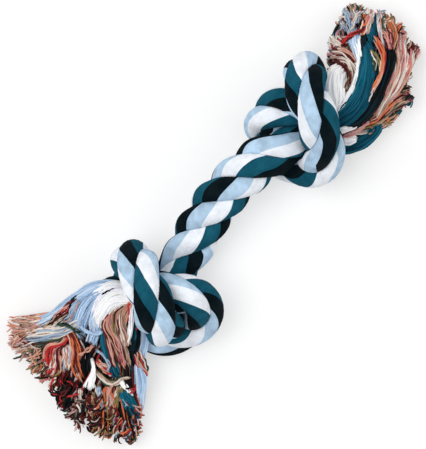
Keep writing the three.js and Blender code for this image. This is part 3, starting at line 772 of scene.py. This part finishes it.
RIGHT_MIXED = [
    ("pink maroon salmon cream", 34, (3, 3, 4, 4, 4), [(351, 94, 29, 3), (356, 78, 29, 5),
     (352, 63, 27, 7), (343, 55, 24, 8), (331, 53, 19, 8)]),
    ("maroon pink cream", 12, 3, [(350, 88, 28, 2), (351, 74, 28, 3), (345, 66, 26, 3),
     (337, 62, 22, 4), (331, 60, 18, 4)]),
    ("maroon olive", 3, 1, [(349, 70, 33, 1), (350, 79, 34, 1), (345, 90, 34, 1), (343, 97, 33, 1)]),
    ("cream", 12, (3, 4, 4), [(342, 45, 23, 2), (337, 43, 23, 3), (332, 40, 18, 4)]),
    ("pink olive maroon", 9, 2, [(358, 68, 27, 2), (351, 54, 26, 3), (348, 43, 23, 3)]),
    ("red rose maroon", 4, 1, [(369, 24, 25, 1), (361, 31, 28, 1), (352, 34, 28.5, 1), (345, 40, 26, 1),
     (338, 47, 20, 1)]),
    ("maroon orange olive cream", 12, 3, [(361, 36, 26, 3), (364, 25, 25, 4), (366, 14, 20, 4)]),
    ("cream pink rose", 10, 2, [(367, 34, 27, 2), (369, 22, 25, 2.6), (371, 9, 18, 3)]),
    ("rose red cream", 12, 3, [(351, 37, 24, 2), (344, 41, 23, 4), (335, 41, 18, 4)]),
    ("orange orange salmon red", 8, (0.8, 1, 1.4, 2, 2, 2), [(370, 97, 33, 0.8), (377, 82, 34.4, 1),
     (382, 70, 34, 1.2), (383, 58, 32, 2), (379, 45, 29, 3), (373, 34, 26, 3)]),
    ("cream olive", 2, 0.6, [(380, 76, 34, 0.6), (378, 59, 33.4, 0.8), (371, 47, 31, 0.8)]),
    ("maroon plum rose plum salmon", 16, 3, [(390, 50, 28, 3), (388, 40, 28, 5), (383, 28, 25, 6)]),
    ("moss moss cream", 3, 0.8, [(370, 48, 31, 0.8), (375, 61, 33, 1.2), (374, 76, 33.6, 0.8)]),
    ("cream salmon", 2, 0.6, [(379, 76, 34.6, 0.6), (374, 89, 34.6, 0.6), (366, 101, 34, 0.6)]),
    ("cream mist rose", 6, 1.4, [(384, 50, 29, 1.4), (382, 36, 28, 1.8), (379, 22, 24, 2),
     (379, 9, 16, 2)]),
    ("olive moss cream", 9, 2, [(386, 40, 27, 2), (383, 27, 25, 2.6), (382, 14, 19, 3)]),
    ("orange salmon olive", 20, 3, [(389, 50, 26, 4), (392, 36, 24, 6), (390, 25, 19, 6), (386, 16, 12, 6)]),
    ("cream salmon rose pink cream olive", 20, 3, [(376, 116, 29, 3), (385, 98, 29, 4),
     (392, 82, 28, 4.5), (397, 64, 26, 5), (397, 48, 23, 5)]),
    ("rose salmon cream rose pink cream", 26, 3, [(384, 104, 25, 4), (394, 90, 25, 5), (402, 74, 24, 7),
     (407, 60, 22, 7), (406, 47, 17, 6)]),
    ("pink cream rose", 18, 3, [(392, 90, 24, 4), (402, 68, 24, 5), (401, 50, 21, 5), (401, 36, 17, 4),
     (400, 25, 11, 4)]),
    ("pink rose plum cream", 18, 3, [(398, 84, 20, 4), (408, 66, 18, 5), (417, 44, 9, 6)]),
    ("orange salmon orange moss maroon tan", 28, (4, 4, 4, 3), [(364, 124, 22, 4), (378, 113, 24, 7),
     (386, 103, 24, 8), (392, 95, 21, 5)]),
    ("salmon moss rose tan maroon", 30, 3, [(368, 125, 20, 4), (384, 113, 21, 7), (398, 99, 18, 9),
     (410, 92, 11, 9)]),
    ("tan olive salmon moss", 16, 3, [(368, 130, 18, 4), (384, 120, 17, 6), (397, 111, 12, 7)]),
    ("rose pink plum cream", 12, 3, [(336, 137, 26, 2), (348, 133, 28, 3), (358, 128, 29, 4),
     (371, 119, 27, 3)]),
    ("cream mist mist rose", 12, (2, 3, 3), [(355, 36, 23, 3), (351, 24, 20, 4), (348, 9, 14, 5)]),
    ("mist cream ink plum", 9, (2, 3, 3), [(352, 35, 21, 2), (347, 26, 18, 3), (343, 17, 13, 4)]),
    ("cream mist", 5, 1, [(350, 31, 23, 1), (355, 21, 24, 1.4), (362, 12, 20, 1.4)]),
    ("tan olive pink moss", 10, 3, [(354, 20, 18, 4), (354, 12, 16, 5), (352, 4, 12, 6)]),
]

# The cut edge of each tassel, in the photograph's pixels
LEFT_EDGE = [
    (26, 318), (8, 320), (5, 332), (10, 345), (20, 358), (22, 368), (38, 380), (54, 396), (60, 413),
    (71, 420), (78, 431), (95, 435), (108, 440), (127, 443), (135, 447), (137, 432), (139, 414),
]
RIGHT_EDGE = [
    (332, 60), (330, 45), (335, 33), (341, 20), (346, 5), (356, 3), (372, 6), (380, 7), (393, 20), (409, 30),
    (418, 40), (415, 56), (409, 76), (402, 84), (411, 90), (413, 99), (401, 111), (386, 124), (374, 134),
]

# Which colours the cut ends have, up to which share of the way round the edge
LEFT_ENDS = [
    (0.13, "salmon pink cream tan salmon orange"), (0.22, "pink cream salmon maroon"),
    (0.32, "moss cream ink pink salmon olive"), (0.42, "red orange maroon cream rose olive"),
    (0.52, "maroon ink maroon red ink"), (0.6, "ink moss maroon ink pink"),
    (0.68, "maroon salmon ink maroon cream ink"),
    (0.78, "maroon orange olive ink maroon salmon ink"),
    (0.86, "ink red maroon moss orange ink mist"),
    (0.93, "maroon salmon ink orange moss ink"), (1, "red orange maroon pink petrol ink"),
]
RIGHT_ENDS = [
    (0.05, "maroon pink ink salmon"), (0.13, "cream red mist rose moss"),
    (0.2, "mist cream ink rose"), (0.27, "ink moss cream mist rose"),
    (0.34, "salmon pink olive moss cream"), (0.4, "cream petrol mist moss"),
    (0.47, "olive orange plum salmon"), (0.53, "tan ink maroon pink"),
    (0.6, "plum maroon pink salmon"), (0.68, "rose salmon pink cream rose ink"),
    (0.75, "moss ink tan"), (0.81, "maroon rose pink plum"),
    (0.87, "moss ink pink petrol"), (0.94, "cream olive salmon orange"),
    (1, "tan moss cream"),
]


# How the yarns lie


def near(distance, reach):
    """From nothing at this reach softly up to 1 at no distance."""
    return np.clip(1 - distance / reach, 0, 1) ** 2


def tube_mesh(paths, radii):
    """Vertices and faces of one round tube for each path."""
    tangents = np.gradient(paths, axis=1)
    tangents /= np.linalg.norm(tangents, axis=2)[..., None] + LEAST_LENGTH
    side = np.cross(tangents, np.array(TUBE_SIDE))
    side /= np.linalg.norm(side, axis=2)[..., None] + LEAST_LENGTH
    up = np.cross(side, tangents)
    angles = np.arange(YARN_SIDES) * 2 * math.pi / YARN_SIDES
    vertices = paths[:, :, None] + turned(angles, side[:, :, None], up[:, :, None]) * radii[:, :, None, None]
    vertices[..., 2] = np.maximum(vertices[..., 2], FLOOR_GAP)
    count, rings = paths.shape[:2]
    return vertices.reshape(-1, 3), tube_faces(count, rings, YARN_SIDES)


def yarn_piece(name, batches, materials):
    """One mesh of yarns, in batches of their paths, their radii and which material each has."""
    vertices, faces, picks = [], [], []
    base = 0
    for paths, radii, pick in batches:
        points, quads = tube_mesh(paths, radii)
        vertices.append(points)
        faces += [[i + base for i in face] for face in quads]
        picks.append(np.r_[np.repeat(pick, (paths.shape[1] - 1) * YARN_SIDES), pick, pick])
        base += len(points)
    return new_mesh(name, np.concatenate(vertices), faces, materials, np.concatenate(picks))


def waves(t, heights, speeds, phases):
    """A slow wave along a yarn, and a quick one on it: how high, how fast and where they begin."""
    return heights[0] * np.sin(speeds[0] * t + phases[0]) + heights[1] * np.sin(speeds[1] * t + phases[1])


def lock_paths(line, thickness, count, rng, loose, ragged):
    """Yarns that run side by side along a line of (u, v, height, width)."""
    line = np.array(line, float)
    count = round(count * DENSITY)
    thicknesses = np.broadcast_to(thickness, len(line))
    curve = curve_through(np.c_[from_picture(line[:, :3]), line[:, 3], thicknesses], LOCK_SPAN)
    fine = spaced(curve, LOCK_POINTS)
    centre, width, thick = fine[:, :3], fine[:, 3], fine[:, 4]
    tangent = unit(np.gradient(centre, axis=0))
    side = unit(np.cross(tangent, UP))
    up = np.cross(side, tangent)
    order = np.arange(count)
    reach = np.sqrt((order + 0.5) / count)
    angle = order * GOLDEN_ANGLE + rng.normal(0, ANGLE_DIFFERENCE, count)
    share = np.linspace(0, 1, LOCK_POINTS)
    depth = DIVE * (near(share, DIVE_SHARE) + near(1 - share, DIVE_SHARE))
    centre = centre - UP * depth[:, None]
    growing = loose * (ROOT_SWAY + share)
    paths = np.empty((count, YARN_RINGS, 3))
    for i in range(count):
        phases = rng.uniform(0, 2 * math.pi, 4)
        speeds = rng.uniform(*SLOW_TURNS), rng.uniform(*LOCK_QUICK_TURNS)
        sway = waves(share, (growing, QUICK_SWAY * loose), speeds, phases[:2])
        lift = waves(share, (growing, QUICK_LIFT * loose), LIFT_TURNS, phases[2:])
        across = reach[i] * math.cos(angle[i]) * width / 2 + sway
        above = reach[i] * math.sin(angle[i]) * thick / 2 + lift
        path = centre + side * across[:, None] + up * above[:, None]
        paths[i] = columns_at(np.linspace(0, 1 - ragged * rng.uniform(0, 1), YARN_RINGS), share, path)
    return paths


def yarn_radii(paths, radius, rng):
    """Yarns of slightly different thickness, each drawn in at its cut end."""
    count, rings = paths.shape[:2]
    radii = radius * rng.uniform(*RADIUS_RANGE, count)[:, None] * np.ones(rings)
    radii[:, -1] *= CUT_END
    return radii


def fringe_picks(names):
    return [FRINGE_NAMES.index(name) for name in names.split()]


class Tassel:
    """Where a tassel leaves its knot, and how its loose ends lie."""

    def __init__(self, side, edge, ends, combed):
        self.side = side
        self.outward, opens, end = (-1, LEFT_OPENS, 0) if side == "left" else (1, RIGHT_OPENS, -1)
        centre, _, _, tangent, _, _ = rope.at(np.array([rope.along[end] - self.outward * opens]))
        self.centre, self.out = centre[0], tangent[0] * self.outward
        self.hinge = rope.points[end]
        self.edge = np.array(edge, float)
        self.combed = combed
        self.end_limits = [limit for limit, _ in ends]
        self.end_colours = [fringe_picks(names) for _, names in ends]

    def colours_at(self, shares, rng):
        """For each share of the cut edge, one of the colours of the yarns that end there."""
        places = np.clip(shares + rng.normal(0, COLOUR_BLUR, len(shares)), 0, 1)
        picks = [self.end_colours[k] for k in np.searchsorted(self.end_limits, places)]
        return [pick[rng.integers(len(pick))] for pick in picks]

    def wild(self, shares):
        """How freely the ends lie, from the combed stretch of the cut edge on."""
        return np.clip(shares / self.combed, LEAST_WILD, 1)

    def tips(self, shares, reach, heights):
        """Points at the given shares of the cut edge and of the way out to it."""
        along = lengths_along(self.edge)
        edge = from_picture(np.c_[columns_at(shares * along[-1], along, self.edge), heights])
        tips = self.hinge + (edge - self.hinge) * reach[:, None]
        tips[:, 2] = heights
        return tips

    def fan(self, count, reach, heights, rng):
        """Yarns from the rope's opened end out to the cut edge, under the locks."""
        up = UP - self.out * self.out[2]
        up /= np.linalg.norm(up)
        across = np.cross(up, self.out)
        shares = rng.uniform(0, 1, count)
        tips = self.tips(shares, rng.uniform(*reach, count), rng.uniform(*heights, count))
        a = np.clip(self.outward * (1 - 2 * shares) + rng.normal(0, ROOT_BLUR, count), -1, 1)
        b = rng.uniform(*ROOT_HEIGHTS, count) * np.sqrt(1 - a ** 2)
        start = self.centre + (across * a[:, None] + up * b[:, None]) * knot_radius * ROOT_SHARE
        length = np.linalg.norm(tips - start, axis=1)[:, None]
        bend = start + self.out * FAN_STIFF * length
        t = np.linspace(0, 1, YARN_RINGS)
        w = t[None, :, None]
        paths = (1 - w) ** 2 * start[:, None] + 2 * w * (1 - w) * bend[:, None] + w ** 2 * tips[:, None]
        side = np.cross((tips - start) / length, UP)
        phases = rng.uniform(0, 2 * math.pi, (4, count))[..., None]
        speeds = rng.uniform(*SLOW_TURNS, (count, 1)), rng.uniform(*FAN_QUICK_TURNS, (count, 1))
        sway = waves(t, (FAN_SWAY[0] * t ** WAVE_GROWTH, FAN_SWAY[1] * t), speeds, phases[:2])
        lift = waves(t, (FAN_LIFT[0] * t ** WAVE_GROWTH, FAN_LIFT[1] * t), speeds, phases[2:])
        hooked = near(1 - t, HOOK_SHARE) * self.wild(shares)[:, None]
        sway += rng.normal(0, HOOK, (count, 1)) * hooked
        lift += rng.normal(0, HOOK / 2, (count, 1)) * hooked
        paths = paths + side[:, None] * sway[..., None]
        paths[..., 2] = np.maximum(paths[..., 2] + lift, FLOOR_GAP + FRINGE_RADIUS)
        return paths, shares

    def curls(self, count, rng):
        """Short curled ends that stand out of the fan in tufts, near its cut edge."""
        tuft = np.arange(count) // TUFT
        tufts = tuft[-1] + 1
        reach = CURL_REACH[0] + (CURL_REACH[1] - CURL_REACH[0]) * np.sqrt(rng.uniform(0, 1, tufts))
        shares = rng.uniform(0, 1, tufts)
        roots = self.tips(shares, reach, rng.uniform(*CURL_HEIGHTS, tufts))
        way = roots - self.hinge
        wild = self.wild(shares)
        angle = (np.arctan2(way[:, 1], way[:, 0]) + rng.normal(0, TUFT_BLUR[0], tufts) * wild)[tuft]
        angle += rng.normal(0, CURL_BLUR[0], count) * wild[tuft]
        turn = rng.normal(0, TUFT_BLUR[1], tufts)[tuft] * wild[tuft]
        turn += rng.normal(0, CURL_BLUR[1], count) * wild[tuft]
        tilt = rng.normal(0, TUFT_BLUR[2], tufts)[tuft] + rng.normal(0, CURL_BLUR[2], count)
        length = rng.uniform(*CURL_LENGTHS, tufts)[tuft] * rng.uniform(*CURL_SHARES, count)
        middles = roots[tuft] + rng.normal(0, TUFT_SPREAD, (count, 3))
        t = np.linspace(-0.5, 0.5, CURL_RINGS)
        heading = angle[:, None] + turn[:, None] * (t + 0.5) ** 2
        step = (length / (CURL_RINGS - 1))[:, None]
        x = np.cumsum(np.cos(heading) * step, axis=1)
        y = np.cumsum(np.sin(heading) * step, axis=1)
        z = tilt[:, None] * length[:, None] * t + rng.normal(0, CURL_FUZZ, (count, CURL_RINGS))
        paths = np.stack([x - x.mean(axis=1)[:, None], y - y.mean(axis=1)[:, None], z], axis=2)
        paths += middles[:, None]
        paths[..., 2] = np.maximum(paths[..., 2], FLOOR_GAP + FRINGE_RADIUS)
        return paths, shares[tuft]

    def attach(self, piece, node, slot):
        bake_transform(piece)
        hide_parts(node)


lock_materials = {
    name: [yarn_material(f"{name}_yarn_{i + 1}", tint, LOCK_VARIES) for i, tint in enumerate(tints)]
    for name, (_, _, tints, _) in LOCK_YARNS.items()
}
fringe_materials = [yarn_material(f"{name}_yarn", tint, FRINGE_VARIES) for name, tint in FRINGE.items()]


def make_locks(tassel, locks, rng):
    """The locks of plain yarn: those of one name are one piece, which stands for one bundle."""
    for name in dict.fromkeys(lock[0] for lock in locks):
        colour = name[:-2]
        closer, radius, tints, shares = LOCK_YARNS[colour]
        batches = []
        for _, count, thickness, line in [lock for lock in locks if lock[0] == name]:
            paths = lock_paths(line, thickness, count * closer, rng, *LOCK_LOOSE)
            batches.append((paths, yarn_radii(paths, radius, rng)))
        batches = [(*batch, rng.choice(len(tints), len(batch[0]), p=shares)) for batch in batches]
        piece = yarn_piece(f"{tassel.side}_{name}_yarns", batches, lock_materials[colour])
        tassel.attach(piece, f"{tassel.side}_tassel_{name}", f"{colour}_yarn")


def make_mixed(tassel, mixed, rng):
    """The mixed yarn, shared out among the core pieces."""
    batches = [[] for _ in range(CORES)]
    for i, (names, count, thickness, line) in enumerate(mixed):
        paths = lock_paths(line, thickness, count, rng, *MIXED_LOOSE)
        radii = yarn_radii(paths, FRINGE_RADIUS, rng)
        colours = fringe_picks(names)
        batches[i % CORES].append((paths, radii, [colours[rng.integers(len(colours))] for _ in paths]))
    fan, fan_shares = tassel.fan(*FAN, rng)
    # Dark yarn laid low under the fan: painted shade in the gaps between the locks, in dark colours the
    # fringe also has
    shade_yarns, _ = tassel.fan(*PAINTED_SHADE_FAN, rng)
    curls, curl_shares = tassel.curls(CURLS, rng)
    ends = [(fan, tassel.colours_at(fan_shares, rng)),
            (shade_yarns, rng.choice(fringe_picks(PAINTED_SHADE_COLOURS), len(shade_yarns))),
            (curls, tassel.colours_at(curl_shares, rng))]
    for paths, picks in ends:
        for group in range(CORES):
            chosen = paths[group::CORES]
            batches[group].append((chosen, yarn_radii(chosen, FRINGE_RADIUS, rng), picks[group::CORES]))
    for group in range(CORES):
        name = f"core_{group + 1}"
        piece = yarn_piece(f"{tassel.side}_{name}_yarns", batches[group], fringe_materials)
        tassel.attach(piece, f"{tassel.side}_tassel_{name}", "core_yarn")


def make_tassel(tassel, locks, mixed, seed):
    rng = np.random.default_rng(seed)
    make_locks(tassel, locks, rng)
    make_mixed(tassel, mixed, rng)


make_tassel(Tassel("left", LEFT_EDGE, LEFT_ENDS, LEFT_COMBED), LEFT_LOCKS, LEFT_MIXED, seed=7)
make_tassel(Tassel("right", RIGHT_EDGE, RIGHT_ENDS, RIGHT_COMBED), RIGHT_LOCKS, RIGHT_MIXED, seed=8)


# The floor and the light, in metres

FLOOR_SIZE = 6
FLOOR = {"Base Color": (0.97, 0.97, 0.97, 1), "Roughness": 1}
WHITE = (1, 1, 1, 1)
# The camera sees this share of the floor as plain white, which halves the shadow's darkness
PLAIN_FLOOR = 0.5
# Each lamp's place, size and power
LAMPS = [("key", (-0.3, 0.5, 1.5), 1.2, 15), ("fill", (0.9, -0.7, 1.2), 1.5, 6)]
LAMP_AIM = (0, 0, 0.03)
WORLD_LIGHT = 0.5


def make_floor():
    bpy.ops.mesh.primitive_plane_add(size=FLOOR_SIZE)
    floor = bpy.context.object
    floor.name = "floor"
    material, nodes, links, surface = new_material("floor", FLOOR)
    plain = nodes.new("ShaderNodeEmission")
    set_inputs(plain, {"Color": WHITE, "Strength": 1})
    seen = nodes.new("ShaderNodeLightPath")
    share = nodes.new("ShaderNodeMath")
    share.operation = "MULTIPLY"
    share.inputs[1].default_value = PLAIN_FLOOR
    mixed = nodes.new("ShaderNodeMixShader")
    links.new(seen.outputs["Is Camera Ray"], share.inputs[0])
    links.new(share.outputs["Value"], mixed.inputs["Fac"])
    links.new(surface.outputs["BSDF"], mixed.inputs[1])
    links.new(plain.outputs["Emission"], mixed.inputs[2])
    links.new(mixed.outputs["Shader"], nodes["Material Output"].inputs["Surface"])
    floor.data.materials.append(material)


def make_lamp(name, place, size, power):
    data = bpy.data.lights.new(name, "AREA")
    data.shape = "DISK"
    data.size = size
    data.energy = power
    lamp = bpy.data.objects.new(name, data)
    lamp.location = place
    lamp.rotation_euler = (Vector(LAMP_AIM) - Vector(place)).to_track_quat("-Z", "Y").to_euler()
    bpy.context.scene.collection.objects.link(lamp)


def make_world():
    world = bpy.data.worlds.new("world")
    bpy.context.scene.world = world
    world.use_nodes = True
    set_inputs(world.node_tree.nodes["Background"], {"Color": WHITE, "Strength": WORLD_LIGHT})


make_floor()
for lamp in LAMPS:
    make_lamp(*lamp)
make_world()
bpy.context.scene.view_settings.view_transform = "Standard"
